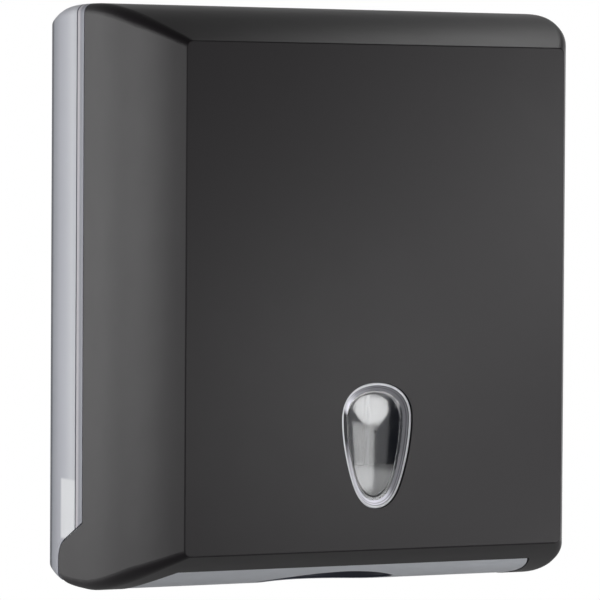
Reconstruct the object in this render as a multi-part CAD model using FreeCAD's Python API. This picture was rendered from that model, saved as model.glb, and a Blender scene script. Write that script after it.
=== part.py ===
"""Wall mounted dispenser for folded paper towels.

A translucent back shell fixes to the wall and carries a translucent towel tray with the
dispensing mouth.  A black front cover with a teardrop level window hinges on two lobes at
its lower rear corners and swings forward and down to refill.  A cam lock in the top of the
shell holds it shut.

Millimetres.  X runs to the right as seen from the front, +Y into the wall, +Z up.  The wall
is the plane y = 0.  "Depth" below is the distance out from the wall, so y = -depth.
The lock is drawn unlocked and the cover closed.
"""

import math
import os

import FreeCAD
import Part

V = FreeCAD.Vector

# ---------------------------------------------------------------- driving dimensions
# outer envelope
WIDTH = 290.0  # across the widest section
HEIGHT = 335.0
DEPTH = 135.0  # wall to front face
RIM_DEPTH = 49.0  # depth of the widest section, where shell and cover meet
TOP_Z = HEIGHT / 2
BOTTOM_Z = -HEIGHT / 2
FACE_WIDTH = WIDTH - 48.3  # flat front face
FACE_TOP = TOP_Z - 22.7
FACE_BOTTOM = BOTTOM_Z + 24.9
SIDE_POWER = 2.70  # fullness of the cover's convex walls
TOP_POWER = 2.20
BOTTOM_POWER = 1.72
BACK_INSET_X = 1.3  # how far the shell draws in at the wall
BACK_INSET_Z = 6.4
BACK_POWER = 3.46
CORNER_BACK = 5.0  # corner radii along the depth
CORNER_RIM = 6.0
CORNER_MID = 7.0
CORNER_FACE = 4.0
FACE_EDGE_ROLL = 1.0  # rounding of the edge around the front face

# walls and gaps
SHELL_WALL = 2.5
COVER_WALL = 2.5
TRAY_WALL = 2.5
RIM_GAP = 0.6  # between shell rim and cover edge
LOBE_GAP = 1.0  # shell recess round a hinge lobe
CUTOUT_GAP = 0.7  # tray panel inside the cover's lower cut-out
TRAY_LIFT = 0.3  # tray panel above the cover's lower surface
SHELL_BAND = 9.3  # plain strip along the shell's front rim
BAND_GROOVE = 0.9
BAND_GROOVE_DEPTH = 0.6

# hinge
LOBE_RADIUS = 13.5
HINGE_DEPTH = 28.1
HINGE_Z = BOTTOM_Z + LOBE_RADIUS
LOBE_EDGE_Z = HINGE_Z + 24.5  # where the cover's rear edge turns into the lobe
PIN_RADIUS = 4.0
PIN_RUNNING = 0.05
BUSH_WALL = 2.0
COVER_BOSS_WALL = 3.0
COVER_BOSS_LENGTH = 4.9
BUSH_SKIN = 1.6  # plastic left outside the blind bore
CHEEK_GAP = 0.6
TRAY_BOSS_RADIUS = 8.0
TRAY_BOSS_LENGTH = 7.5
PIN_END_GAP = 0.3

# cut-out in the underside of the cover
CUTOUT_REAR_HALF = WIDTH / 2 - 20.0
CUTOUT_MID_HALF = CUTOUT_REAR_HALF - 4.5
CUTOUT_FRONT_HALF = CUTOUT_REAR_HALF - 11.4
CUTOUT_FRONT_DEPTH = DEPTH - 24.0
CUTOUT_MID_DEPTH = CUTOUT_FRONT_DEPTH - 15.0
CUTOUT_REAR_DEPTH = CUTOUT_FRONT_DEPTH - 34.0

# towel tray
TRAY_TOP_Z = BOTTOM_Z + 63.5  # top of its cheeks and rear wall
CHEEK_REAR_DEPTH = 4.6
CHEEK_FRONT_DEPTH = CUTOUT_REAR_DEPTH - 5.0
CHEEK_SLANT_DEPTH = 10.0
CHEEK_SLANT_Z = HINGE_Z + 23.0
SHELF_Z = BOTTOM_Z + 6.0  # underside of the shelf that passes over the cover's lower edge
TRAY_REAR_DEPTH = 9.0  # front of the screw bosses that the tray stands on
TRAY_REAR_HALF = WIDTH / 2 - 27.0
MOUTH_FRONT_DEPTH = CUTOUT_FRONT_DEPTH - 16.0
MOUTH_REAR_DEPTH = MOUTH_FRONT_DEPTH - 51.0
MOUTH_ARC = 52.6  # radius of its front and rear edges
MOUTH_END_ROUND = 9.0
MOUTH_EDGE_ROLL = 1.6
MOUTH_LIP = 2.2
MOUTH_LIP_TOP = BOTTOM_Z + 7.5

# wall fixing
FIX_SPACING_X = WIDTH - 90.0
FIX_SPACING_Z = HEIGHT - 155.0
FIX_HOLE_RADIUS = 2.75
FIX_PAD_RADIUS = 9.0
FIX_PAD_HEIGHT = 1.5
RIB_X = 62.0
RIB_HALF_LENGTH = TOP_Z - 47.5
RIB_HEIGHT = 3.0
RIB_WIDTH = 2.0

# tray screws
TRAY_SCREW_X = TRAY_REAR_HALF - 22.0
TRAY_SCREW_LOW_X = TRAY_SCREW_X - 60.0
TRAY_SCREW_Z = BOTTOM_Z + 19.5
SCREW_RADIUS = 1.75
SCREW_HEAD_RADIUS = 3.4
SCREW_HEAD_HEIGHT = 2.0
SCREW_BOSS_RADIUS = 4.2
SCREW_HOLE_CLEAR = 0.25
SCREW_END_GAP = 0.4

# level window
WINDOW_Z = BOTTOM_Z + 99.9  # level that the two halves of its outline meet at
WINDOW_HALF_WIDTH = 22.75
WINDOW_UP = 20.5
WINDOW_DOWN = 51.5
WINDOW_UP_FULLNESS = (0.12, 0.0)  # departure from half an ellipse: sine squared, to the fourth
WINDOW_DOWN_FULLNESS = (-0.19, 0.36)
WINDOW_RECESS = 0.5  # lip below the cover's face
WINDOW_CLEAR = 0.2
WINDOW_RIM = 1.1  # flat lip around the edge
WINDOW_SLOPE = 3.3  # width of the sloping rim inside the lip
WINDOW_SINK = 3.3  # depth of the sloping rim
WINDOW_DOME = 2.4
WINDOW_FLANGE = 4.0
WINDOW_THICK = 2.2
RETAINER_WIDTH = 14.0
RETAINER_LAND = 3.0
RETAINER_THICK = 2.2
WINDOW_SCREW_X_TOP = 24.0
WINDOW_SCREW_Z_TOP = WINDOW_Z + 19.6
WINDOW_SCREW_X_LOW = 20.0
WINDOW_SCREW_Z_LOW = WINDOW_Z - 48.4
SMALL_SCREW_RADIUS = 1.4
SMALL_HEAD_RADIUS = 2.8
SMALL_HEAD_HEIGHT = 1.8
SMALL_BOSS_RADIUS = 3.2

# cam lock
LOCK_DEPTH = 27.0
LOCK_BODY_RADIUS = 8.0
LOCK_FLANGE_RADIUS = 11.0
LOCK_FLANGE_THICK = 1.0
LOCK_BOTTOM_Z = TOP_Z - 15.5
LOCK_NUT_ACROSS_FLATS = 19.0
LOCK_NUT_THICK = 3.0
BARREL_RADIUS = 5.0
BARREL_RUNNING = 0.05
BARREL_HEAD_RADIUS = 6.4
BARREL_HEAD_THICK = 1.6
KEYWAY_LENGTH = 6.0
KEYWAY_WIDTH = 1.4
KEYWAY_DEPTH = 5.0
CAM_LENGTH = 26.0
CAM_HALF_WIDTH = 4.5
CAM_HUB_RADIUS = 7.0
CAM_THICK = 2.2
CAM_DROP = 0.3
SQUARE = 5.0
CAM_SCREW_HEAD_RADIUS = 4.2

# catch bracket on the cover
CATCH_NEAR_X = 12.0
CATCH_FAR_X = 32.0
CATCH_TOP_Z = TOP_Z - 7.7
CATCH_THICK = 2.2
CATCH_PLAY = 0.8  # between the turned cam and the lip
CATCH_LIP_OVERLAP = 3.2  # how far the lip reaches below the cam's top
CATCH_SCREW_REAR = 56.0
CATCH_SCREW_FRONT = 65.0
CATCH_MARGIN = 4.0

EPS = 1.0  # overshoot of cutting solids
FAR = 200.0  # beyond the object in every direction


# ---------------------------------------------------------------- envelope
def envelope_at(depth, inset=0.0):
    """Half width, lower z, upper z and corner radius of the outline at a depth."""
    if depth <= RIM_DEPTH:
        back = (1.0 - depth / RIM_DEPTH) ** BACK_POWER
        half = WIDTH / 2 - BACK_INSET_X * back
        low = -HEIGHT / 2 + BACK_INSET_Z * back
        high = HEIGHT / 2 - BACK_INSET_Z * back
        radius = CORNER_RIM + (CORNER_BACK - CORNER_RIM) * (1.0 - depth / RIM_DEPTH)
    else:
        t = (depth - RIM_DEPTH) / (DEPTH - RIM_DEPTH)
        half = WIDTH / 2 - (WIDTH - FACE_WIDTH) / 2 * t**SIDE_POWER
        low = -HEIGHT / 2 + (HEIGHT / 2 + FACE_BOTTOM) * t**BOTTOM_POWER
        high = HEIGHT / 2 - (HEIGHT / 2 - FACE_TOP) * t**TOP_POWER
        if t < 0.6:
            radius = CORNER_RIM + (CORNER_MID - CORNER_RIM) * t / 0.6
        else:
            radius = CORNER_MID + (CORNER_FACE - CORNER_MID) * (t - 0.6) / 0.4
    return half - inset, low + inset, high - inset, max(radius - inset, 1.0)


def outline_wire(half, low, high, radius, depth):
    """Rounded rectangle standing in the plane of one depth."""
    y = -depth
    k = radius * (1.0 - math.sqrt(0.5))
    pts = [
        V(-half + radius, y, low), V(half - radius, y, low),
        V(half - k, y, low + k),
        V(half, y, low + radius), V(half, y, high - radius),
        V(half - k, y, high - k),
        V(half - radius, y, high), V(-half + radius, y, high),
        V(-half + k, y, high - k),
        V(-half, y, high - radius), V(-half, y, low + radius),
        V(-half + k, y, low + k),
    ]
    line, arc = Part.LineSegment, Part.Arc
    return Part.Wire([
        line(pts[0], pts[1]).toShape(), arc(pts[1], pts[2], pts[3]).toShape(),
        line(pts[3], pts[4]).toShape(), arc(pts[4], pts[5], pts[6]).toShape(),
        line(pts[6], pts[7]).toShape(), arc(pts[7], pts[8], pts[9]).toShape(),
        line(pts[9], pts[10]).toShape(), arc(pts[10], pts[11], pts[0]).toShape(),
    ])


def envelope(inset, start, end, roll=0.0):
    """Solid between two depths, everywhere the inset inside the outer surface."""
    steps = 14
    depths = {start, end}
    for i in range(steps + 1):
        for d in (RIM_DEPTH * i / 6.0, RIM_DEPTH + (DEPTH - RIM_DEPTH) * i / steps):
            if start + 2.0 < d < end - 2.0:
                depths.add(d)
    sections = [outline_wire(*envelope_at(d, inset), d) for d in sorted(depths)]
    body = Part.makeLoft(sections, True, False)
    if roll:
        edges = [e for e in body.Edges if abs(e.BoundBox.YMax + end) < 1e-3
                 and abs(e.BoundBox.YMin + end) < 1e-3]
        body = body.makeFillet(roll, edges)
    return body


# ---------------------------------------------------------------- helpers
def box(x0, x1, d0, d1, z0, z1):
    """Box between two x, two depths and two heights."""
    return Part.makeBox(x1 - x0, d1 - d0, z1 - z0, V(x0, -d1, z0))


def rod(radius, start, end):
    """Cylinder between two points."""
    axis = end.sub(start)
    return Part.makeCylinder(radius, axis.Length, start, axis)


def prism_yz(edges, half_length=FAR):
    """Solid from closed edges drawn in a plane of constant x, centred on x = 0."""
    face = Part.Face(Part.Wire(edges))
    face.translate(V(-half_length, 0, 0))
    return face.extrude(V(2 * half_length, 0, 0))


def prism_up(edges, z0, z1):
    """Solid from closed edges drawn at z = 0."""
    face = Part.Face(Part.Wire(edges))
    face.translate(V(0, 0, z0))
    return face.extrude(V(0, 0, z1 - z0))


def polygon(points):
    return [Part.LineSegment(a, b).toShape() for a, b in zip(points, points[1:] + points[:1])]


def mirror_x(shape):
    return shape.mirror(V(0, 0, 0), V(1, 0, 0))


def screw(tip, seat, radius, head_radius, head_height):
    """Pan head screw from its tip to the seat of its head, with a cross recess."""
    axis = seat.sub(tip).normalize()
    top = seat + axis * head_height
    head = rod(head_radius, seat, top)
    rim = [e for e in head.Edges if abs(e.CenterOfMass.sub(top).dot(axis)) < 1e-6
           and isinstance(e.Curve, Part.Circle)]
    head = head.makeFillet(head_height * 0.45, rim)
    arm, slot = head_radius * 1.1, head_radius * 0.24
    cross = Part.makeBox(arm, slot, head_height, V(-arm / 2, -slot / 2, 0))
    cross = cross.fuse(Part.makeBox(slot, arm, head_height, V(-slot / 2, -arm / 2, 0)))
    cross.Placement = FreeCAD.Placement(
        seat + axis * (head_height * 0.45), FreeCAD.Rotation(V(0, 0, 1), axis))
    return rod(radius, tip, seat).fuse(head).cut(cross).removeSplitter()


def egg(offset, depth):
    """Teardrop outline of the window, grown by an offset, at one depth."""
    half = WINDOW_HALF_WIDTH + offset
    edges = []
    for reach, (second, fourth), sign in ((WINDOW_UP + offset, WINDOW_UP_FULLNESS, 1),
                                          (WINDOW_DOWN + offset, WINDOW_DOWN_FULLNESS, -1)):
        pts = []
        for i in range(25):
            a = math.pi * i / 24
            square = math.sin(a) ** 2
            x = half * math.cos(a) * (1.0 + second * square + fourth * square ** 2)
            pts.append(V(sign * x, -depth, WINDOW_Z + sign * reach * math.sin(a)))
        curve = Part.BSplineCurve()
        curve.interpolate(Points=pts, InitialTangent=V(0, 0, sign), FinalTangent=V(0, 0, -sign))
        edges.append(curve.toShape())
    return Part.Wire(edges)


def egg_plate(offset, start, end):
    """Teardrop plate between two depths."""
    return Part.Face(egg(offset, start)).extrude(V(0, start - end, 0))


# ---------------------------------------------------------------- zones of shell and cover
def lobe_zone(gap):
    """Everything in front of the line that parts the cover from the shell, grown by a gap."""
    rim = RIM_DEPTH + RIM_GAP / 2 - gap
    radius = LOBE_RADIUS + gap
    cy, cz = -HINGE_DEPTH, HINGE_Z
    # the straight edge of the lobe touches the plain lobe circle
    dy, dz = -(RIM_DEPTH + RIM_GAP / 2) - cy, LOBE_EDGE_Z - cz
    reach = math.hypot(dy, dz)
    turn = math.atan2(dz, dy) - math.acos(LOBE_RADIUS / reach)
    touch = V(0, cy + radius * math.cos(turn), cz + radius * math.sin(turn))
    slope_y, slope_z = -math.sin(turn), math.cos(turn)
    run = (-rim - touch.y) / slope_y
    corner = V(0, -rim, touch.z + slope_z * run)
    rear = V(0, cy + radius, cz)
    between = turn / 2
    bend = V(0, cy + radius * math.cos(between), cz + radius * math.sin(between))
    foot = V(0, rear.y, -FAR)
    edges = [Part.LineSegment(corner, touch).toShape(), Part.Arc(touch, bend, rear).toShape()]
    if gap > 0:
        edges.append(Part.LineSegment(rear, foot).toShape())
    else:
        low = V(0, cy, cz - radius)
        a = -math.pi / 4
        dip = V(0, cy + radius * math.cos(a), cz + radius * math.sin(a))
        edges.append(Part.Arc(rear, dip, low).toShape())
        foot = V(0, cy, -FAR)
        edges.append(Part.LineSegment(low, foot).toShape())
    edges += [
        Part.LineSegment(foot, V(0, -FAR, -FAR)).toShape(),
        Part.LineSegment(V(0, -FAR, -FAR), V(0, -FAR, FAR)).toShape(),
        Part.LineSegment(V(0, -FAR, FAR), V(0, -rim, FAR)).toShape(),
        Part.LineSegment(V(0, -rim, FAR), corner).toShape(),
    ]
    return prism_yz(edges)


def cutout(gap, rear_depth):
    """Column over the opening in the cover's underside, shrunk by a gap."""
    front, rear = CUTOUT_FRONT_DEPTH - gap, rear_depth
    a = V(CUTOUT_FRONT_HALF - gap, -front, 0)
    b = V(CUTOUT_MID_HALF - gap, -CUTOUT_MID_DEPTH, 0)
    c = V(CUTOUT_REAR_HALF - gap, -CUTOUT_REAR_DEPTH, 0)
    d = V(CUTOUT_REAR_HALF - gap, -rear, 0)
    left = [V(-p.x, p.y, 0) for p in (a, b, c, d)]
    edges = [
        Part.LineSegment(left[0], a).toShape(), Part.Arc(a, b, c).toShape(),
        Part.LineSegment(c, d).toShape(), Part.LineSegment(d, left[3]).toShape(),
        Part.LineSegment(left[3], left[2]).toShape(),
        Part.Arc(left[2], left[1], left[0]).toShape(),
    ]
    return prism_up(edges, -FAR, HINGE_Z + LOBE_RADIUS)


# ---------------------------------------------------------------- pieces
def make_back_shell():
    front = RIM_DEPTH - RIM_GAP / 2
    skin = envelope(0, 0, front).cut(envelope(SHELL_WALL, SHELL_WALL, front + EPS))
    skin = skin.cut(lobe_zone(LOBE_GAP))
    groove = box(-FAR, FAR, front - SHELL_BAND - BAND_GROOVE, front - SHELL_BAND, -FAR, FAR)
    groove = groove.cut(envelope(BAND_GROOVE_DEPTH, 0, front))
    skin = skin.cut(groove)
    for x in (-RIB_X, RIB_X):
        skin = skin.fuse(box(x - RIB_WIDTH / 2, x + RIB_WIDTH / 2, SHELL_WALL,
                             SHELL_WALL + RIB_HEIGHT, -RIB_HALF_LENGTH, RIB_HALF_LENGTH))
    for x in (-FIX_SPACING_X / 2, FIX_SPACING_X / 2):
        for z in (-FIX_SPACING_Z / 2, FIX_SPACING_Z / 2):
            skin = skin.fuse(rod(FIX_PAD_RADIUS, V(x, -SHELL_WALL, z),
                                 V(x, -SHELL_WALL - FIX_PAD_HEIGHT, z)))
            skin = skin.cut(rod(FIX_HOLE_RADIUS, V(x, EPS, z), V(x, -FAR, z)))
    for x in tray_screw_places():
        skin = skin.fuse(rod(SCREW_BOSS_RADIUS, V(x, -SHELL_WALL, TRAY_SCREW_Z),
                             V(x, -TRAY_REAR_DEPTH, TRAY_SCREW_Z)))
        skin = skin.cut(rod(SCREW_RADIUS, V(x, -SHELL_WALL, TRAY_SCREW_Z),
                            V(x, -FAR, TRAY_SCREW_Z)))
    hole = rod(LOCK_BODY_RADIUS, V(0, -LOCK_DEPTH, LOCK_BOTTOM_Z), V(0, -LOCK_DEPTH, FAR))
    land = rod(LOCK_FLANGE_RADIUS + SCREW_HOLE_CLEAR, V(0, -LOCK_DEPTH, lock_seat_z()),
               V(0, -LOCK_DEPTH, FAR))
    pad = rod(LOCK_FLANGE_RADIUS + EPS, V(0, -LOCK_DEPTH, lock_nut_z()),
              V(0, -LOCK_DEPTH, lock_seat_z()))
    return skin.fuse(pad).cut(land).cut(hole).removeSplitter()


def tray_screw_places():
    return (-TRAY_SCREW_X, -TRAY_SCREW_LOW_X, TRAY_SCREW_LOW_X, TRAY_SCREW_X)


def lock_seat_z():
    """Level of the flat that the lock's flange sits on, sunk into the shell's top."""
    return envelope_at(LOCK_DEPTH - LOCK_FLANGE_RADIUS)[2] - 0.4


def lock_nut_z():
    """Underside of the thickened wall that the lock's nut tightens against."""
    return lock_seat_z() - SHELL_WALL


def make_towel_tray():
    rear = HINGE_DEPTH - LOBE_RADIUS - LOBE_GAP + CUTOUT_GAP
    edge = CUTOUT_REAR_HALF - CUTOUT_GAP
    shelf_top = SHELF_Z + TRAY_WALL
    # panel in the cut-out, with a riser left standing along each side
    hollow = envelope(TRAY_LIFT + TRAY_WALL, 0, DEPTH)
    for x in (-edge, edge):
        hollow = hollow.cut(box(x - TRAY_WALL, x + TRAY_WALL, 0, CUTOUT_REAR_DEPTH,
                                -FAR, shelf_top))
    tray = envelope(TRAY_LIFT, 0, DEPTH - COVER_WALL).common(cutout(CUTOUT_GAP, rear))
    tray = tray.cut(hollow)
    shelf_rear = HINGE_DEPTH - 6.6
    cheek_out = cheek_outer_x()
    cheek_in = cheek_out - TRAY_WALL
    low = -HEIGHT / 2 + TRAY_LIFT + TRAY_WALL / 2
    # step over the shell's floor and rear wall that the screws pass through
    step = box(-TRAY_REAR_HALF, TRAY_REAR_HALF, rear + 0.6, rear + 0.6 + TRAY_WALL,
               low, shelf_top)
    step = step.fuse(box(-TRAY_REAR_HALF, TRAY_REAR_HALF, TRAY_REAR_DEPTH,
                         rear + 0.6 + TRAY_WALL, SHELF_Z + 0.6, shelf_top + 0.6))
    step = step.fuse(box(-TRAY_REAR_HALF, TRAY_REAR_HALF, TRAY_REAR_DEPTH,
                         TRAY_REAR_DEPTH + TRAY_WALL, SHELF_Z + 0.6, TRAY_TOP_Z))
    step = step.fuse(box(-cheek_out + EPS, cheek_out - EPS, TRAY_REAR_DEPTH,
                         TRAY_REAR_DEPTH + TRAY_WALL, CHEEK_SLANT_Z + 3.0, TRAY_TOP_Z))
    room = envelope(SHELL_WALL + 0.4, 0, RIM_DEPTH).fuse(box(-FAR, FAR, rear, FAR, -FAR, FAR))
    tray = tray.fuse(step.common(room))
    lobe_y, reach = -HINGE_DEPTH, LOBE_RADIUS - COVER_WALL - LOBE_GAP / 2
    for sign in (-1, 1):
        def span(a, b):
            return (a, b) if sign > 0 else (-b, -a)
        shelf = box(*span(edge - TRAY_WALL, cheek_out), shelf_rear, CHEEK_FRONT_DEPTH,
                    SHELF_Z, shelf_top)
        cheek = [
            V(0, -CHEEK_REAR_DEPTH, TRAY_TOP_Z), V(0, -CHEEK_FRONT_DEPTH, TRAY_TOP_Z),
            V(0, -CHEEK_FRONT_DEPTH, SHELF_Z), V(0, -shelf_rear, SHELF_Z),
            V(0, lobe_y + 8.1, HINGE_Z - 4.0), V(0, lobe_y + 8.6, HINGE_Z + 4.0),
            V(0, lobe_y + 8.6, HINGE_Z + 10.0), V(0, -CHEEK_SLANT_DEPTH, CHEEK_SLANT_Z),
        ]
        plate = prism_yz(polygon(cheek)).common(box(*span(cheek_in, cheek_out), 0, FAR, -FAR, FAR))
        corners = [e for e in plate.Edges if abs(e.CenterOfMass.z - TRAY_TOP_Z) < 1e-6
                   and abs(e.tangentAt(e.FirstParameter).x) > 0.9]
        plate = plate.makeFillet(5.0, corners)
        boss = rod(TRAY_BOSS_RADIUS, V(sign * (cheek_in - TRAY_BOSS_LENGTH), lobe_y, HINGE_Z),
                   V(sign * cheek_out, lobe_y, HINGE_Z))
        bore = rod(PIN_RADIUS, V(sign * (cheek_in - TRAY_BOSS_LENGTH + 2.0), lobe_y, HINGE_Z),
                   V(sign * FAR, lobe_y, HINGE_Z))
        tray = tray.fuse(shelf).fuse(plate).fuse(boss).cut(bore)
    for x in tray_screw_places():
        tray = tray.cut(rod(SCREW_RADIUS + SCREW_HOLE_CLEAR, V(x, 0, TRAY_SCREW_Z),
                            V(x, -FAR / 4, TRAY_SCREW_Z)))
    lip = mouth(MOUTH_LIP, -HEIGHT / 2 + TRAY_LIFT + TRAY_WALL / 2, MOUTH_LIP_TOP)
    lip = lip.common(envelope(TRAY_LIFT + TRAY_WALL / 2, 0, DEPTH - COVER_WALL))
    tray = tray.fuse(lip).cut(mouth(0, -FAR, FAR)).removeSplitter()
    roll = [e for e in tray.Edges if on_mouth_rim(e)]
    return tray.makeFillet(MOUTH_EDGE_ROLL, roll)


def on_mouth_rim(edge):
    """True for the edges where the mouth meets the tray's outer surface."""
    for point in edge.discretize(5):
        low = envelope_at(-point.y)[1] + TRAY_LIFT
        if abs(point.z - low) > 0.3 or abs(point.x) > MOUTH_ARC:
            return False
        if not MOUTH_REAR_DEPTH - 0.1 < -point.y < MOUTH_FRONT_DEPTH + 0.1:
            return False
    return True


def cheek_outer_x():
    return WIDTH / 2 - COVER_WALL - COVER_BOSS_LENGTH - CHEEK_GAP


def mouth(grow, z0, z1):
    """Column over the dispensing mouth: an eye shape between two arcs, with rounded ends."""
    radius = MOUTH_ARC + grow
    front = V(0, -(MOUTH_FRONT_DEPTH - MOUTH_ARC), 0)
    rear = V(0, -(MOUTH_REAR_DEPTH + MOUTH_ARC), 0)
    eye = rod(radius, front + V(0, 0, z0), front + V(0, 0, z1))
    eye = eye.common(rod(radius, rear + V(0, 0, z0), rear + V(0, 0, z1)))
    ends = [e for e in eye.Edges if abs(e.BoundBox.ZLength - (z1 - z0)) < 1e-6]
    return eye.makeFillet(MOUTH_END_ROUND + grow, ends)


def make_hinge_pin(sign):
    inner = cheek_outer_x() - TRAY_WALL - TRAY_BOSS_LENGTH + 2.0
    outer = WIDTH / 2 - BUSH_SKIN - PIN_END_GAP
    pin = rod(PIN_RADIUS, V(inner, -HINGE_DEPTH, HINGE_Z), V(outer, -HINGE_DEPTH, HINGE_Z))
    tip = [e for e in pin.Edges if isinstance(e.Curve, Part.Circle)
           and e.CenterOfMass.x > outer - 1e-6]
    pin = pin.makeChamfer(0.6, tip)
    return pin if sign > 0 else mirror_x(pin)


def make_hinge_bush(sign):
    inner = WIDTH / 2 - COVER_WALL - COVER_BOSS_LENGTH
    outer = WIDTH / 2 - BUSH_SKIN
    a, b = V(inner, -HINGE_DEPTH, HINGE_Z), V(outer, -HINGE_DEPTH, HINGE_Z)
    bore = PIN_RADIUS + PIN_RUNNING
    bush = rod(bore + BUSH_WALL, a, b).cut(rod(bore, V(inner - EPS, a.y, a.z), b))
    return bush if sign > 0 else mirror_x(bush)


def make_front_cover():
    skin = envelope(0, 0, DEPTH, FACE_EDGE_ROLL)
    skin = skin.cut(envelope(COVER_WALL, -EPS, DEPTH - COVER_WALL)).common(lobe_zone(0))
    skin = skin.cut(cutout(0, -EPS))
    inner = WIDTH / 2 - COVER_WALL - COVER_BOSS_LENGTH
    outer = WIDTH / 2 - BUSH_SKIN
    bore = PIN_RADIUS + PIN_RUNNING + BUSH_WALL
    for sign in (-1, 1):
        boss = rod(bore + COVER_BOSS_WALL, V(sign * inner, -HINGE_DEPTH, HINGE_Z),
                   V(sign * (WIDTH / 2 - COVER_WALL / 2), -HINGE_DEPTH, HINGE_Z))
        skin = skin.fuse(boss).cut(rod(bore, V(sign * (inner - EPS), -HINGE_DEPTH, HINGE_Z),
                                       V(sign * outer, -HINGE_DEPTH, HINGE_Z)))
    back = DEPTH - COVER_WALL
    skin = skin.cut(egg_plate(0, back - EPS, DEPTH + EPS))
    for x, z in window_screw_places():
        skin = skin.fuse(rod(SMALL_BOSS_RADIUS, V(x, -retainer_front(), z), V(x, -back - 0.5, z)))
        skin = skin.cut(rod(SMALL_SCREW_RADIUS, V(x, -retainer_front() + EPS, z),
                            V(x, -back - SCREW_END_GAP, z)))
    for depth in (CATCH_SCREW_REAR, CATCH_SCREW_FRONT):
        x = (CATCH_NEAR_X + CATCH_FAR_X) / 2
        skin = skin.fuse(rod(SMALL_BOSS_RADIUS + 0.6, V(x, -depth, CATCH_TOP_Z),
                             V(x, -depth, envelope_at(depth)[2] - COVER_WALL / 2)))
        skin = skin.cut(rod(SMALL_SCREW_RADIUS, V(x, -depth, CATCH_TOP_Z - EPS),
                            V(x, -depth, catch_screw_tip(depth) + SCREW_END_GAP)))
    return skin.removeSplitter()


def catch_screw_tip(depth):
    return envelope_at(depth)[2] - COVER_WALL


def retainer_front():
    """Depth of the retainer's front, just behind the window's flange."""
    return DEPTH - COVER_WALL - WINDOW_THICK


def window_screw_places():
    return ((-WINDOW_SCREW_X_TOP, WINDOW_SCREW_Z_TOP), (WINDOW_SCREW_X_TOP, WINDOW_SCREW_Z_TOP),
            (-WINDOW_SCREW_X_LOW, WINDOW_SCREW_Z_LOW), (WINDOW_SCREW_X_LOW, WINDOW_SCREW_Z_LOW))


def make_level_window():
    back, face = DEPTH - COVER_WALL, DEPTH - WINDOW_RECESS
    flange = egg_plate(WINDOW_FLANGE, retainer_front(), back)
    body = flange.fuse(egg_plate(-WINDOW_CLEAR, retainer_front(), face))
    lip, foot = -WINDOW_CLEAR - WINDOW_RIM, -WINDOW_CLEAR - WINDOW_RIM - WINDOW_SLOPE
    floor = DEPTH - WINDOW_SINK
    above = face + 0.5  # the slope runs on past the lip to cut it cleanly
    bowl = Part.makeLoft([egg(lip + WINDOW_SLOPE * (above - face) / (face - floor), above),
                          egg(foot, floor)], True, True)
    body = body.cut(bowl)
    # gentle dome in the floor, hollow behind
    def dome(shift):
        rings = []
        for i in range(5):
            a = math.pi / 2 * i / 5.0
            grow = foot - (WINDOW_HALF_WIDTH + foot) * (1.0 - math.cos(a))
            rings.append(egg(grow - 0.01, floor + shift - 0.4 + (WINDOW_DOME + 0.4) * math.sin(a)))
        return Part.makeLoft(rings, True, False)
    body = body.fuse(dome(0)).cut(egg_plate(foot - WINDOW_SLOPE, 0, retainer_front() + 0.6))
    return body.removeSplitter()


def make_window_retainer():
    front = retainer_front()
    ring = egg_plate(RETAINER_WIDTH, front - RETAINER_THICK, front)
    ring = ring.cut(egg_plate(-RETAINER_LAND, 0, DEPTH))
    for x, z in window_screw_places():
        ring = ring.cut(rod(SMALL_SCREW_RADIUS + SCREW_HOLE_CLEAR, V(x, 0, z), V(x, -DEPTH, z)))
    return ring.removeSplitter()


def make_window_screw(x, z):
    back = DEPTH - COVER_WALL
    return screw(V(x, -back, z), V(x, -retainer_front() + RETAINER_THICK, z),
                 SMALL_SCREW_RADIUS, SMALL_HEAD_RADIUS, SMALL_HEAD_HEIGHT)


def make_tray_screw(x):
    return screw(V(x, -SHELL_WALL - SCREW_END_GAP, TRAY_SCREW_Z),
                 V(x, -TRAY_REAR_DEPTH - TRAY_WALL, TRAY_SCREW_Z),
                 SCREW_RADIUS, SCREW_HEAD_RADIUS, SCREW_HEAD_HEIGHT)


# ---------------------------------------------------------------- lock
def on_lock_axis(z):
    return V(0, -LOCK_DEPTH, z)


def cam_top_z():
    return LOCK_BOTTOM_Z - CAM_DROP


def make_lock_housing():
    seat = lock_seat_z()
    top = seat + LOCK_FLANGE_THICK
    body = rod(LOCK_BODY_RADIUS, on_lock_axis(LOCK_BOTTOM_Z), on_lock_axis(seat))
    body = body.fuse(rod(LOCK_FLANGE_RADIUS, on_lock_axis(seat), on_lock_axis(top)))
    clear = BARREL_RUNNING
    body = body.cut(rod(BARREL_RADIUS + clear, on_lock_axis(0), on_lock_axis(FAR)))
    body = body.cut(rod(BARREL_HEAD_RADIUS + clear, on_lock_axis(top - BARREL_HEAD_THICK),
                        on_lock_axis(FAR)))
    return body.removeSplitter()


def make_lock_nut():
    top = lock_nut_z()
    corner = LOCK_NUT_ACROSS_FLATS / 2 / math.cos(math.pi / 6)
    pts = [V(corner * math.cos(math.pi / 3 * i), corner * math.sin(math.pi / 3 * i) - LOCK_DEPTH, 0)
           for i in range(6)]
    nut = prism_up(polygon(pts), top - LOCK_NUT_THICK, top)
    return nut.cut(rod(LOCK_BODY_RADIUS, on_lock_axis(0), on_lock_axis(FAR)))


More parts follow.
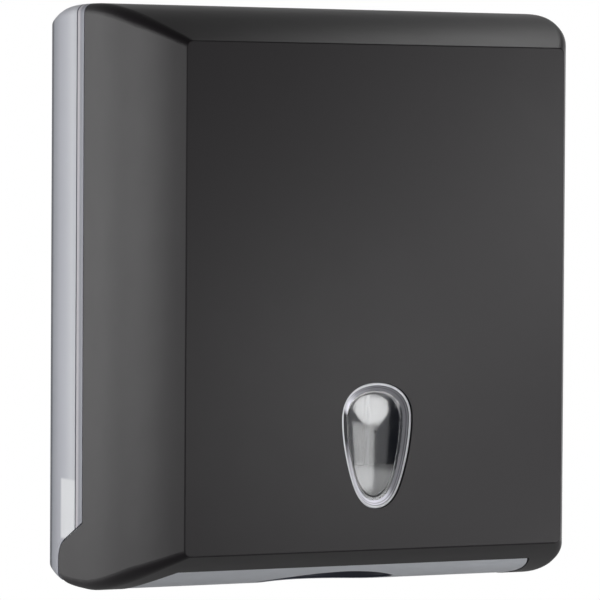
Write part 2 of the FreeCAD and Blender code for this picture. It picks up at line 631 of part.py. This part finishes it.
def make_lock_barrel():
    top = lock_seat_z() + LOCK_FLANGE_THICK
    head = top - BARREL_HEAD_THICK + 0.05
    body = rod(BARREL_RADIUS, on_lock_axis(cam_top_z()), on_lock_axis(head))
    body = body.fuse(rod(BARREL_HEAD_RADIUS, on_lock_axis(head), on_lock_axis(top)))
    half = SQUARE / 2
    body = body.fuse(box(-half, half, LOCK_DEPTH - half, LOCK_DEPTH + half,
                         cam_top_z() - CAM_THICK, cam_top_z()))
    slot = box(-KEYWAY_LENGTH / 2, KEYWAY_LENGTH / 2, LOCK_DEPTH - KEYWAY_WIDTH / 2,
               LOCK_DEPTH + KEYWAY_WIDTH / 2, top - KEYWAY_DEPTH, top + EPS)
    body = body.cut(slot)
    return body.cut(rod(SMALL_SCREW_RADIUS, on_lock_axis(cam_top_z() - CAM_THICK - EPS),
                        on_lock_axis(cam_screw_tip() + SCREW_END_GAP))).removeSplitter()


def cam_screw_tip():
    return cam_top_z() + 4.0


def make_lock_cam():
    z1 = cam_top_z()
    z0 = z1 - CAM_THICK
    arm = box(-CAM_HALF_WIDTH, CAM_HALF_WIDTH, LOCK_DEPTH, LOCK_DEPTH + CAM_LENGTH, z0, z1)
    ends = [e for e in arm.Edges if abs(e.BoundBox.ZLength - CAM_THICK) < 1e-6
            and e.CenterOfMass.y < -LOCK_DEPTH - 1.0]
    arm = arm.makeFillet(1.5, ends)
    cam = arm.fuse(rod(CAM_HUB_RADIUS, on_lock_axis(z0), on_lock_axis(z1)))
    half = SQUARE / 2
    return cam.cut(box(-half, half, LOCK_DEPTH - half, LOCK_DEPTH + half, z0 - EPS, z1 + EPS)
                   ).removeSplitter()


def make_cam_screw():
    return screw(on_lock_axis(cam_screw_tip()), on_lock_axis(cam_top_z() - CAM_THICK),
                 SMALL_SCREW_RADIUS, CAM_SCREW_HEAD_RADIUS, SMALL_HEAD_HEIGHT)


def make_catch_bracket():
    lip_front = LOCK_DEPTH - CAM_HALF_WIDTH - CATCH_PLAY
    lip_rear = lip_front - CATCH_THICK
    front = CATCH_SCREW_FRONT + CATCH_MARGIN
    z1 = CATCH_TOP_Z
    z0 = z1 - CATCH_THICK
    lip_low = cam_top_z() - CATCH_LIP_OVERLAP
    plate = box(CATCH_NEAR_X, CATCH_FAR_X, lip_rear, front, z0, z1)
    lip = box(CATCH_NEAR_X, CATCH_FAR_X, lip_rear, lip_front, lip_low, z1)
    bracket = plate.fuse(lip)
    for x in (CATCH_NEAR_X, CATCH_FAR_X - CATCH_THICK):
        pts = [V(x, -lip_rear, z1), V(x, -front, z1), V(x, -front, z0),
               V(x, -lip_front - 14.0, z0), V(x, -lip_front, z0 - 3.0), V(x, -lip_rear, z0 - 3.0)]
        bracket = bracket.fuse(Part.Face(Part.Wire(polygon(pts))).extrude(V(CATCH_THICK, 0, 0)))
    x = (CATCH_NEAR_X + CATCH_FAR_X) / 2
    for depth in (CATCH_SCREW_REAR, CATCH_SCREW_FRONT):
        bracket = bracket.cut(rod(SMALL_SCREW_RADIUS + SCREW_HOLE_CLEAR, V(x, -depth, 0),
                                  V(x, -depth, FAR)))
    return bracket.removeSplitter()


def make_catch_screw(depth):
    x = (CATCH_NEAR_X + CATCH_FAR_X) / 2
    return screw(V(x, -depth, catch_screw_tip(depth)), V(x, -depth, CATCH_TOP_Z - CATCH_THICK),
                 SMALL_SCREW_RADIUS, SMALL_HEAD_RADIUS, SMALL_HEAD_HEIGHT)


def build():
    nodes = {
        "back_shell": make_back_shell(),
        "towel_tray": make_towel_tray(),
        "front_cover": make_front_cover(),
        "level_window": make_level_window(),
        "window_retainer": make_window_retainer(),
        "hinge_pin_left": make_hinge_pin(-1),
        "hinge_pin_right": make_hinge_pin(1),
        "hinge_bush_left": make_hinge_bush(-1),
        "hinge_bush_right": make_hinge_bush(1),
        "lock_housing": make_lock_housing(),
        "lock_nut": make_lock_nut(),
        "lock_barrel": make_lock_barrel(),
        "lock_cam": make_lock_cam(),
        "cam_screw": make_cam_screw(),
        "catch_bracket": make_catch_bracket(),
        "catch_screw_rear": make_catch_screw(CATCH_SCREW_REAR),
        "catch_screw_front": make_catch_screw(CATCH_SCREW_FRONT),
    }
    for i, x in enumerate(tray_screw_places(), 1):
        nodes["tray_screw_%d" % i] = make_tray_screw(x)
    for i, (x, z) in enumerate(window_screw_places(), 1):
        nodes["window_screw_%d" % i] = make_window_screw(x, z)
    return nodes


os.makedirs("parts", exist_ok=True)
for name, shape in build().items():
    if len(shape.Solids) == 1:
        shape = shape.Solids[0]
    print("%-18s %d solid %s %8.2f cm3" % (
        name, len(shape.Solids), "ok" if shape.isValid() else "INVALID", shape.Volume / 1000))
    shape.exportStep("parts/%s.step" % name)
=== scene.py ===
"""Folded paper towel dispenser: materials, trim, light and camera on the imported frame."""
import math

import bpy
from mathutils import Matrix, Vector


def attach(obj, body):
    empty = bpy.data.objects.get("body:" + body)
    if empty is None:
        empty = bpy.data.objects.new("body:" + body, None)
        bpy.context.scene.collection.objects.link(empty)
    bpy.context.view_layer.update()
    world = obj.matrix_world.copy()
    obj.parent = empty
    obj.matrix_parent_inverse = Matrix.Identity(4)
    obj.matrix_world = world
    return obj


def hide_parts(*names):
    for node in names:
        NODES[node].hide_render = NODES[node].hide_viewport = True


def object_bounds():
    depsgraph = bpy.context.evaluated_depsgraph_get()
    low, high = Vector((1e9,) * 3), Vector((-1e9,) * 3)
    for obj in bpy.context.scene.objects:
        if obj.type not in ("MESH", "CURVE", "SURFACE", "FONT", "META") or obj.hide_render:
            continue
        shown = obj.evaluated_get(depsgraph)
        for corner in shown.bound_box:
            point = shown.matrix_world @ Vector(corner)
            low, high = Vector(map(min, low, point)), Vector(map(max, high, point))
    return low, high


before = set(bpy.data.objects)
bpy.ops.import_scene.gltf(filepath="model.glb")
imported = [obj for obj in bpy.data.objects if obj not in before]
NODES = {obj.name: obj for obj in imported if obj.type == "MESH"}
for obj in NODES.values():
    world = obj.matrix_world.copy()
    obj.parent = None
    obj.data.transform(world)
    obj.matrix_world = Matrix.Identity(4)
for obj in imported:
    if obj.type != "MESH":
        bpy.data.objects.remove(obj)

CAD_BOX = [list(v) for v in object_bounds()]
SCENE = bpy.context.scene
MM = 0.001
DEPTH = -CAD_BOX[0][1]  # metres from the wall to the front face


# ------------------------------------------------------------------ node helpers
def material(name):
    mat = bpy.data.materials.new(name)
    mat.use_nodes = True
    nodes = mat.node_tree.nodes
    return mat, nodes, mat.node_tree.links, nodes["Principled BSDF"]


def rgba(colour):
    """Four channels from a grey level or from three channels."""
    return (*colour, 1.0) if isinstance(colour, tuple) else (colour, colour, colour, 1.0)


def feed(links, value, socket):
    """Link an output to the socket, or set a constant on it."""
    if isinstance(value, bpy.types.NodeSocket):
        links.new(value, socket)
    else:
        socket.default_value = value


def maths(nodes, links, operation, first, second):
    node = nodes.new("ShaderNodeMath")
    node.operation = operation
    feed(links, first, node.inputs[0])
    feed(links, second, node.inputs[1])
    return node.outputs["Value"]


def vector_maths(nodes, links, operation, first, second=None):
    node = nodes.new("ShaderNodeVectorMath")
    node.operation = operation
    feed(links, first, node.inputs[0])
    if second is not None:
        feed(links, second, node.inputs[1])
    return node.outputs


def blend(nodes, links, factor, first, second, kind="MIX"):
    """Mix of two colours, each an output or four channels."""
    node = nodes.new("ShaderNodeMix")
    node.data_type, node.blend_type = "RGBA", kind
    feed(links, factor, node.inputs["Factor"])
    feed(links, first, node.inputs["A"])
    feed(links, second, node.inputs["B"])
    return node.outputs["Result"]


def mix_shader(nodes, links, factor, first, second):
    node = nodes.new("ShaderNodeMixShader")
    for value, socket in zip((factor, first, second), node.inputs):
        links.new(value, socket)
    return node.outputs["Shader"]


def coords(nodes, space):
    return nodes.new("ShaderNodeTexCoord").outputs[space]


def light_path(nodes):
    return nodes.new("ShaderNodeLightPath").outputs


def split(nodes, links, vector):
    node = nodes.new("ShaderNodeSeparateXYZ")
    links.new(vector, node.inputs["Vector"])
    return node.outputs


def step(nodes, links, value, start, end, first=0.0, last=1.0):
    """Smooth run from first to last while the value goes from start to end."""
    node = nodes.new("ShaderNodeMapRange")
    node.interpolation_type = "SMOOTHSTEP"
    node.inputs["From Min"].default_value = start
    node.inputs["From Max"].default_value = end
    node.inputs["To Min"].default_value = first
    node.inputs["To Max"].default_value = last
    links.new(value, node.inputs["Value"])
    return node.outputs["Result"]


def span_of(nodes, links, value, low, high, soft):
    """1 while the value lies between low and high, with a soft step at both ends."""
    return maths(nodes, links, "MULTIPLY",
                 step(nodes, links, value, low - soft, low + soft),
                 step(nodes, links, value, high - soft, high + soft, 1.0, 0.0))


def noise(nodes, links, scale, detail):
    """Noise in object space."""
    node = nodes.new("ShaderNodeTexNoise")
    node.inputs["Scale"].default_value = scale
    node.inputs["Detail"].default_value = detail
    node.inputs["Roughness"].default_value = 0.55
    links.new(coords(nodes, "Object"), node.inputs["Vector"])
    return node.outputs["Fac"]


def ramp(nodes, links, fac, stops):
    """Colour ramp; each stop is a position and a grey level or three channels."""
    node = nodes.new("ShaderNodeValToRGB")
    elements = node.color_ramp.elements
    while len(elements) < len(stops):
        elements.new(0.5)
    for element, (position, colour) in zip(elements, stops):
        element.position = position
        element.color = rgba(colour)
    links.new(fac, node.inputs["Fac"])
    return node.outputs["Color"]


def drift_stops(low, high):
    """Nearly all of a noise lies between 0.3 and 0.7."""
    return [(0.3, low), (0.7, high)]


def drift(nodes, links, scale, detail, low, high):
    """Noise that runs between two tones or two levels."""
    return ramp(nodes, links, noise(nodes, links, scale, detail), drift_stops(low, high))


def bump(nodes, links, fac, strength, distance, bsdf):
    node = nodes.new("ShaderNodeBump")
    node.inputs["Strength"].default_value = strength
    node.inputs["Distance"].default_value = distance
    links.new(fac, node.inputs["Height"])
    links.new(node.outputs["Normal"], bsdf.inputs["Normal"])


# ------------------------------------------------------------------ kinds of material
def plastic(name, low, high, rough=(0.38, 0.46), ior=1.5):
    """Moulded plastic: slight tone drift, fine grain, uneven gloss."""
    mat, nodes, links, bsdf = material(name)
    links.new(drift(nodes, links, 14.0, 4.0, low, high), bsdf.inputs["Base Color"])
    links.new(drift(nodes, links, 60.0, 5.0, *rough), bsdf.inputs["Roughness"])
    bsdf.inputs["IOR"].default_value = ior
    grain = noise(nodes, links, scale=1400.0, detail=2.0)
    bump(nodes, links, grain, strength=0.25, distance=0.00004, bsdf=bsdf)
    return mat


def frosted(name, low, high, transmission, rough, depth_shade=(), patch=None):
    """Translucent plastic. The depth stops give distance from the wall and colour, painted shade
    that darkens the part towards the wall.
    patch paints one zone a colour, painted light at the foot of the shell and painted shade round
    the tray's mouth: the colour, and the zone's limits, each a space, an axis, the lowest and
    highest value and the softness of both ends."""
    mat, nodes, links, bsdf = material(name)
    colour = drift(nodes, links, 9.0, 3.0, low, high)
    if depth_shade:
        depth = split(nodes, links, coords(nodes, "Object"))["Y"]
        painted_shading = ramp(nodes, links, maths(nodes, links, "DIVIDE", depth, -DEPTH),
                    [(distance / DEPTH, tone) for distance, tone in depth_shade])
        if patch:
            patch_colour, limits = patch
            mask = 1.0
            for space, axis, lowest, highest, soft in limits:
                value = split(nodes, links, coords(nodes, space))[axis]
                mask = maths(nodes, links, "MULTIPLY", mask,
                             span_of(nodes, links, value, lowest, highest, soft))
            painted_shading = blend(nodes, links, mask, painted_shading, rgba(patch_colour))
        colour = blend(nodes, links, 1.0, colour, painted_shading, "MULTIPLY")
    links.new(colour, bsdf.inputs["Base Color"])
    links.new(drift(nodes, links, 40.0, 4.0, rough * 0.9, rough * 1.1),
              bsdf.inputs["Roughness"])
    bsdf.inputs["Transmission Weight"].default_value = transmission
    bsdf.inputs["IOR"].default_value = 1.3
    grain = noise(nodes, links, scale=300.0, detail=2.0)
    bump(nodes, links, grain, strength=0.1, distance=0.00003, bsdf=bsdf)
    return mat


def clear(name):
    """Clear polished plastic."""
    mat, nodes, links, bsdf = material(name)
    links.new(drift(nodes, links, 20.0, 2.0, (0.93, 0.95, 0.97), (0.97, 0.98, 1.0)),
              bsdf.inputs["Base Color"])
    links.new(drift(nodes, links, 90.0, 4.0, 0.05, 0.09), bsdf.inputs["Roughness"])
    bsdf.inputs["Transmission Weight"].default_value = 1.0
    bsdf.inputs["IOR"].default_value = 1.42
    return mat


def metal(name, low, high, rough=(0.25, 0.4)):
    mat, nodes, links, bsdf = material(name)
    links.new(drift(nodes, links, 220.0, 4.0, low, high), bsdf.inputs["Base Color"])
    gloss = noise(nodes, links, scale=500.0, detail=4.0)
    links.new(ramp(nodes, links, gloss, drift_stops(*rough)), bsdf.inputs["Roughness"])
    bsdf.inputs["Metallic"].default_value = 1.0
    bump(nodes, links, gloss, strength=0.15, distance=0.00003, bsdf=bsdf)
    return mat


# share of a turn from the left end of the outline by its foot, right side and top; painted tone
# there, with painted highlights at the brightest stops and painted shade at the darkest
RIM_PAINTED_LIGHT_AND_SHADE = [(0.0, 0.03), (0.05, 0.20), (0.10, 0.45), (0.16, 0.58), (0.22, 0.70), (0.25, 1.0),
             (0.285, 1.0), (0.31, 0.35), (0.45, 0.20), (0.62, 0.19), (0.76, 0.20), (0.82, 0.35),
             (0.86, 1.0), (0.88, 0.8), (0.895, 0.03)]
RIM_CENTRE_Z = -0.080
RIM_BLUE = 1.1


def window_rim(name, level):
    """Sloping rim of the window: painted highlights and painted shade change its tone around the
    outline.
    """
    mat, nodes, links, bsdf = material(name)
    place = split(nodes, links, coords(nodes, "Object"))
    plane = nodes.new("ShaderNodeCombineXYZ")
    links.new(place["X"], plane.inputs["X"])
    links.new(maths(nodes, links, "SUBTRACT", place["Z"], RIM_CENTRE_Z), plane.inputs["Y"])
    turn = nodes.new("ShaderNodeTexGradient")
    turn.gradient_type = "RADIAL"
    links.new(plane.outputs["Vector"], turn.inputs["Vector"])
    stops = [(share, (tone * level, tone * level, tone * level * RIM_BLUE))
             for share, tone in RIM_PAINTED_LIGHT_AND_SHADE]
    links.new(ramp(nodes, links, turn.outputs["Fac"], stops), bsdf.inputs["Base Color"])
    links.new(drift(nodes, links, 90.0, 4.0, 0.14, 0.22), bsdf.inputs["Roughness"])
    bsdf.inputs["Transmission Weight"].default_value = 0.2
    bsdf.inputs["IOR"].default_value = 1.25
    return mat


# ------------------------------------------------------------------ materials
# painted shade: the shell is painted lighter away from the wall and nearly black at the back
# plate, as the shade of the closed bay and the wall; its fine dark line is a painted shadow line,
# and the grey strip at its rim is painted shade from the dark inside
SHELL_DEPTH_SHADE = [(0.0, (0.02, 0.025, 0.04)), (0.0030, (0.03, 0.035, 0.05)),
              (0.0040, (0.20, 0.21, 0.245)), (0.0065, (0.245, 0.255, 0.29)),
              (0.014, (0.357, 0.365, 0.41)), (0.024, (0.44, 0.45, 0.495)),
              (0.032, (0.545, 0.555, 0.59)), (0.0378, (0.50, 0.51, 0.55)),
              (0.0385, (0.14, 0.15, 0.18)), (0.0395, (0.14, 0.15, 0.18)),
              (0.0402, (0.49, 0.46, 0.49)), (0.0425, (0.44, 0.43, 0.47)),
              (0.0440, (0.21, 0.215, 0.25)), (0.0490, (0.33, 0.34, 0.39))]
# painted light: a paler field painted at the foot of the shell's sides
SHELL_PAINTED_LIGHT = ((0.70, 0.71, 0.73), [("Object", "Z", -0.140, -0.1055, 0.0010),
                                    ("Object", "Y", -0.0378, -0.0180, 0.0016)])
# painted shade: the tray is painted darker towards the wall, deeper in the closed bay
TRAY_DEPTH_SHADE = [(0.0, 0.75), (0.085, 0.95), (0.11, 1.0)]
# painted shade: the tray's inner faces round the mouth are painted dark, as the shade of the
# closed bay; faces that look down keep their tone
TRAY_MOUTH_SHADE = ((0.03, 0.035, 0.06), [("Object", "Z", -0.2, -0.152, 0.0003),
                                    ("Object", "Y", -0.084, 0.1, 0.0020),
                                    ("Normal", "Z", -0.75, 2.0, 0.1)])

BLACK = plastic("black_plastic", (0.0038, 0.0027, 0.0038), (0.0046, 0.0034, 0.0046),
                (0.39, 0.41), ior=1.3)
# a roughness that wanders across about 0.27 shows as specks, so these two stay above it
SMOKE = frosted("smoke_clear_plastic", (0.96, 0.96, 0.96), (1.0, 1.0, 1.0),
                transmission=0.35, rough=0.34, depth_shade=SHELL_DEPTH_SHADE, patch=SHELL_PAINTED_LIGHT)
TRAY = frosted("tray_plastic", (0.47, 0.49, 0.53), (0.52, 0.54, 0.58),
               transmission=0.35, rough=0.34, depth_shade=TRAY_DEPTH_SHADE, patch=TRAY_MOUTH_SHADE)
CLEAR = clear("clear_plastic")
RIM = window_rim("clear_plastic_rim", level=1.0)
# painted shade: the rim's lines are the rim's painted tone at 0.35 of its brightness
RIM_SHADE_LINE = window_rim("clear_plastic_rim_shade_line", level=0.35)
EDGE = frosted("clear_plastic_edge", (0.86, 0.88, 0.93), (0.93, 0.94, 0.97),
               transmission=0.35, rough=0.12)
DARK = plastic("dark_plastic", (0.020, 0.020, 0.021), (0.026, 0.026, 0.027))
ACETAL = plastic("acetal", (0.70, 0.70, 0.67), (0.76, 0.76, 0.73), (0.3, 0.36))
STEEL = metal("steel", (0.52, 0.52, 0.53), (0.62, 0.62, 0.63))
SCREW = metal("screw_steel", (0.55, 0.55, 0.56), (0.66, 0.66, 0.68), (0.2, 0.32))
LOCK = plastic("lock_plastic", (0.030, 0.030, 0.032), (0.036, 0.036, 0.038), (0.28, 0.34))
BARREL = plastic("lock_barrel_plastic", (0.09, 0.09, 0.095), (0.11, 0.11, 0.115), (0.26, 0.33))

FINISH = {
    "back_shell": SMOKE, "towel_tray": TRAY, "front_cover": BLACK, "level_window": CLEAR,
    "window_retainer": DARK, "catch_bracket": DARK, "hinge_bush_left": ACETAL,
    "hinge_bush_right": ACETAL, "hinge_pin_left": STEEL, "hinge_pin_right": STEEL,
    "lock_housing": LOCK, "lock_nut": LOCK, "lock_barrel": BARREL, "lock_cam": STEEL,
}
for name, node in NODES.items():
    node.data.materials.clear()
    node.data.materials.append(FINISH.get(name, SCREW))


# ------------------------------------------------------------------ level window, millimetres
EGG_Z, EGG_HALF, EGG_UP, EGG_DOWN = -67.6, 22.75, 20.5, 51.5
EGG_UP_FULLNESS, EGG_DOWN_FULLNESS = (0.12, 0.0), (-0.19, 0.36)
RING_POINTS = 144
FACE_DEPTH = DEPTH / MM
RING_TOP = FACE_DEPTH - 1.4
PANE_TOP = FACE_DEPTH - 3.3  # at the pane's border
PANE_THICKNESS = 1.7
APEX_Z = -75.0  # highest point of the pane's dome
DOME_HEIGHT, DOME_POWER, DOME_STEPS = 1.1, 2.2, 22
DOME_CENTRE = 0.015  # scale of the innermost ring
WINDOW_MATERIALS = (CLEAR, EDGE, RIM, RIM_SHADE_LINE)
PANE_ZONE, EDGE_ZONE, RIM_ZONE, SHADE_LINE_ZONE = range(4)


def egg_ring(offset, depth, scale=1.0):
    """Teardrop outline grown by an offset, then scaled about the dome's apex."""
    ring = []
    for i in range(RING_POINTS):
        a = 2 * math.pi * i / RING_POINTS
        up, square = math.sin(a) > 0, math.sin(a) ** 2
        reach, (second, fourth) = ((EGG_UP, EGG_UP_FULLNESS) if up
                                   else (EGG_DOWN, EGG_DOWN_FULLNESS))
        x = (EGG_HALF + offset) * math.cos(a) * (1 + second * square + fourth * square ** 2)
        z = EGG_Z + (reach + offset) * math.sin(a)
        ring.append((x * scale * MM, -depth * MM, (APEX_Z + (z - APEX_Z) * scale) * MM))
    return ring


def skin(name, rings, zones):
    """Skin over rings of equal length; zones gives the material slot of each band."""
    count = len(rings[0])
    verts = [point for ring in rings for point in ring]
    faces, slots = [], []
    for k in range(len(rings) - 1):
        for i in range(count):
            j = (i + 1) % count
            faces.append((k * count + i, k * count + j,
                          (k + 1) * count + j, (k + 1) * count + i))
            slots.append(zones[k])
    mesh = bpy.data.meshes.new(name)
    mesh.from_pydata(verts, [], faces)
    mesh.polygons.foreach_set("material_index", slots)
    mesh.polygons.foreach_set("use_smooth", [True] * len(faces))
    obj = bpy.data.objects.new(name, mesh)
    SCENE.collection.objects.link(obj)
    return obj


def window_lens():
    """Flat ring, sloping rim and domed pane as one closed skin."""
    # each row: offset from the outline, distance from the wall, zone of the band that follows; the
    # line bands are painted shade
    profile = [(-6.5, PANE_TOP - 1.4, PANE_ZONE), (4.0, PANE_TOP - 1.4, PANE_ZONE),
               (4.0, PANE_TOP + 0.7, PANE_ZONE), (-0.2, PANE_TOP + 0.7, PANE_ZONE),
               (-0.2, RING_TOP - 0.45, EDGE_ZONE), (-0.3, RING_TOP - 0.13, EDGE_ZONE),
               (-0.5, RING_TOP, EDGE_ZONE), (-1.4, RING_TOP, EDGE_ZONE),
               (-1.7, RING_TOP - 0.15, SHADE_LINE_ZONE), (-2.1, RING_TOP - 0.4, RIM_ZONE),
               (-2.9, RING_TOP - 0.95, SHADE_LINE_ZONE), (-3.2, RING_TOP - 1.15, RIM_ZONE),
               (-4.2, PANE_TOP + 0.2, RIM_ZONE), (-4.45, PANE_TOP + 0.05, RIM_ZONE),
               (-4.75, PANE_TOP, PANE_ZONE)]
    rings = [egg_ring(offset, depth) for offset, depth, _ in profile]
    zones = [zone for _, _, zone in profile]
    scales = [1.0 - i / DOME_STEPS for i in range(1, DOME_STEPS)] + [DOME_CENTRE]
    for offset, border, order in ((-4.75, PANE_TOP, scales),
                                  (-4.9, PANE_TOP - PANE_THICKNESS, scales[::-1])):
        for scale in order:
            rings.append(egg_ring(offset, border + DOME_HEIGHT * (1 - scale ** DOME_POWER), scale))
            zones.append(PANE_ZONE)
    obj = skin("window_lens", rings + rings[:1], zones)
    for mat in WINDOW_MATERIALS:
        obj.data.materials.append(mat)
    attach(obj, "cover")
    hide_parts("level_window")


window_lens()


# ------------------------------------------------------------------ stage
FLOOR_Z, FLOOR_HALF = -0.34, 5
FLOOR_MIRRORED = 0.48  # the floor's tone in reflections
WHITE_FROM, WHITE_TO = 0.5, 1.3  # metres over which the floor turns plain white
# the dark flag stands to the right of the front: directions, lowest and highest cosines
FLAG_SIDES = (((0.8, 0.6, 0.0), -0.055, 0.26), ((0.6, -0.8, 0.0), 0.5, 2.0))
FLAG_TONE, FLAG_SOFT = 0.02, 0.006
FLAG_HEIGHTS = (-0.165, 0.10)  # of the direction, in the world
FLAG_ON_FLOOR = (2.05, 20.0, 0.05)  # metres from the object, softness
FILL_STRENGTH = 0.3
CEILING = [(0.18, 1.0), (0.42, 0.2)]  # height of the direction, tone


def seen_directly(nodes, links):
    """1 for rays that show the background: camera, glossy and transmission rays."""
    path = light_path(nodes)
    mirrored = maths(nodes, links, "MAXIMUM", path["Is Camera Ray"], path["Is Glossy Ray"])
    return maths(nodes, links, "MAXIMUM", mirrored, path["Is Transmission Ray"])


def dark_flag(nodes, links, way):
    """1 towards the dark flag, but never for the camera's own rays; way is a direction."""
    mask = maths(nodes, links, "SUBTRACT", 1.0, light_path(nodes)["Is Camera Ray"])
    for axis, low, high in FLAG_SIDES:
        cosine = vector_maths(nodes, links, "DOT_PRODUCT", way, axis)["Value"]
        mask = maths(nodes, links, "MULTIPLY", mask,
                     span_of(nodes, links, cosine, low, high, FLAG_SOFT))
    return mask


def make_floor():
    """Pale floor: real shading near the object, plain white further out, open from below."""
    mesh = bpy.data.meshes.new("floor")
    corners = [(-FLOOR_HALF, -FLOOR_HALF, 0), (FLOOR_HALF, -FLOOR_HALF, 0),
               (FLOOR_HALF, FLOOR_HALF, 0), (-FLOOR_HALF, FLOOR_HALF, 0)]
    mesh.from_pydata(corners, [], [(0, 1, 2, 3)])
    obj = bpy.data.objects.new("floor", mesh)
    obj.location = (0, 0, FLOOR_Z)
    SCENE.collection.objects.link(obj)
    mat, nodes, links, bsdf = material("floor")
    bsdf.inputs["Roughness"].default_value = 0.9
    tone = drift(nodes, links, 3.0, 2.0, 0.80, 0.84)
    links.new(blend(nodes, links, light_path(nodes)["Is Glossy Ray"], tone,
                    rgba(FLOOR_MIRRORED)), bsdf.inputs["Base Color"])
    place = coords(nodes, "Object")
    distance = vector_maths(nodes, links, "LENGTH", place)["Value"]
    way = vector_maths(nodes, links, "NORMALIZE", place)["Vector"]
    flag = maths(nodes, links, "MULTIPLY", dark_flag(nodes, links, way),
                 span_of(nodes, links, distance, *FLAG_ON_FLOOR))
    white = nodes.new("ShaderNodeEmission")
    links.new(blend(nodes, links, flag, rgba(1.0), rgba(FLAG_TONE)), white.inputs["Color"])
    far = maths(nodes, links, "MULTIPLY", seen_directly(nodes, links),
                step(nodes, links, distance, WHITE_FROM, WHITE_TO))
    top = mix_shader(nodes, links, far, bsdf.outputs["BSDF"], white.outputs["Emission"])
    # open from below, so that the underside can be looked at
    below = nodes.new("ShaderNodeNewGeometry").outputs["Backfacing"]
    through = nodes.new("ShaderNodeBsdfTransparent").outputs["BSDF"]
    links.new(mix_shader(nodes, links, below, top, through),
              nodes["Material Output"].inputs["Surface"])
    mat.cycles.emission_sampling = "NONE"  # the white floor is seen, it isn't a lamp
    mesh.materials.append(mat)


def make_world():
    """Even fill light; white where it is seen, darker overhead and at the flag in mirrors."""
    world = bpy.data.worlds.new("studio")
    world.use_nodes = True
    SCENE.world = world
    nodes, links = world.node_tree.nodes, world.node_tree.links
    fill = nodes["Background"]
    fill.inputs["Color"].default_value = rgba(1.0)
    fill.inputs["Strength"].default_value = FILL_STRENGTH
    way = coords(nodes, "Generated")
    height = split(nodes, links, way)["Z"]
    flag = maths(nodes, links, "MULTIPLY", dark_flag(nodes, links, way),
                 span_of(nodes, links, height, *FLAG_HEIGHTS, FLAG_SOFT))
    mirrored = blend(nodes, links, flag, ramp(nodes, links, height, CEILING), rgba(FLAG_TONE))
    white = nodes.new("ShaderNodeBackground")
    white.inputs["Strength"].default_value = 1.0
    links.new(blend(nodes, links, light_path(nodes)["Is Camera Ray"], mirrored, rgba(1.0)),
              white.inputs["Color"])
    links.new(mix_shader(nodes, links, seen_directly(nodes, links),
                         fill.outputs["Background"], white.outputs["Background"]),
              nodes["World Output"].inputs["Surface"])


make_floor()
make_world()
SCENE.view_settings.view_transform = "Standard"


# ------------------------------------------------------------------ lamps
MIDDLE = (0, -0.07, 0)
FRONT = (0, -0.13, 0)
WINDOW = (0, -0.1325, -0.07)


def softbox(name, place, aim, width, height, power, shape="RECTANGLE"):
    light = bpy.data.lights.new(name, "AREA")
    light.shape = shape
    light.size, light.size_y, light.energy = width, height, power
    obj = bpy.data.objects.new(name, light)
    obj.location = place
    obj.rotation_mode = "QUATERNION"
    obj.rotation_quaternion = (Vector(aim) - Vector(place)).to_track_quat("-Z", "Y")
    SCENE.collection.objects.link(obj)


softbox("bank_left", (-1.35, 0.29, 0.07), MIDDLE, 0.7, 0.7, 8.9)
softbox("bank_left_rear", (-0.99, 0.92, 0.05), MIDDLE, 0.7, 0.7, 3.45)
softbox("bank_left_front", (-1.35, -0.43, 0), MIDDLE, 0.7, 0.7, 3.6)
softbox("low_right", (0.42, -0.43, -0.27), FRONT, 0.25, 0.2, 1.17)
softbox("top_right", (0.35, 0.05, 0.6), (0.05, -0.07, 0.1), 0.3, 0.3, 0.76)
softbox("side_right", (0.40, -0.45, 0.05), FRONT, 0.25, 0.2, 0.80)
softbox("high_right", (0.32, -0.51, 0.15), FRONT, 0.25, 0.25, 0.27)
softbox("window_key", (0.2137, -0.5845, -0.046), WINDOW, 0.145, 0.096, 0.36, "ELLIPSE")
softbox("window_fill", (0.1753, -0.5972, -0.146), WINDOW, 0.117, 0.096, 0.173)
softbox("window_low", (0.232, -0.568, -0.176), WINDOW, 0.30, 0.038, 0.091)


# ------------------------------------------------------------------ camera
PAN, TILT, ROLL = 0.46850856, 0.03094169, 0.00617174
FOCAL_PX, SIDE, RISE, DISTANCE = 4214.52978, 0.0164188, -0.0042327, 2.5146223
PHOTO_PX, SENSOR_WIDTH = 600.0, 36.0


def make_camera():
    """Camera at the photograph's viewing angle, from the values fitted to its outline."""
    data = bpy.data.cameras.new("camera")
    data.sensor_width = SENSOR_WIDTH
    data.lens = FOCAL_PX / PHOTO_PX * SENSOR_WIDTH
    data.clip_start, data.clip_end = 0.05, 50.0
    camera = bpy.data.objects.new("camera", data)
    SCENE.collection.objects.link(camera)
    SCENE.camera = camera
    cos_pan, sin_pan = math.cos(PAN), math.sin(PAN)
    cos_tilt, sin_tilt = math.cos(TILT), math.sin(TILT)
    cos_roll, sin_roll = math.cos(ROLL), math.sin(ROLL)
    right, up = Vector((cos_pan, -sin_pan, 0)), Vector((0, 0, 1))
    ahead = Vector((sin_pan, cos_pan, 0))
    look = (ahead * cos_tilt - up * sin_tilt).normalized()
    rise = (ahead * sin_tilt + up * cos_tilt).normalized()
    eye = (right * SIDE + up * (DISTANCE * sin_tilt * cos_tilt + RISE)
           + ahead * (DISTANCE * sin_tilt * sin_tilt - DISTANCE))
    axis_x = right * cos_roll + rise * sin_roll
    axis_y = rise * cos_roll - right * sin_roll
    camera.matrix_world = Matrix((
        (axis_x.x, axis_y.x, -look.x, eye.x), (axis_x.y, axis_y.y, -look.y, eye.y),
        (axis_x.z, axis_y.z, -look.z, eye.z), (0, 0, 0, 1)))


make_camera()
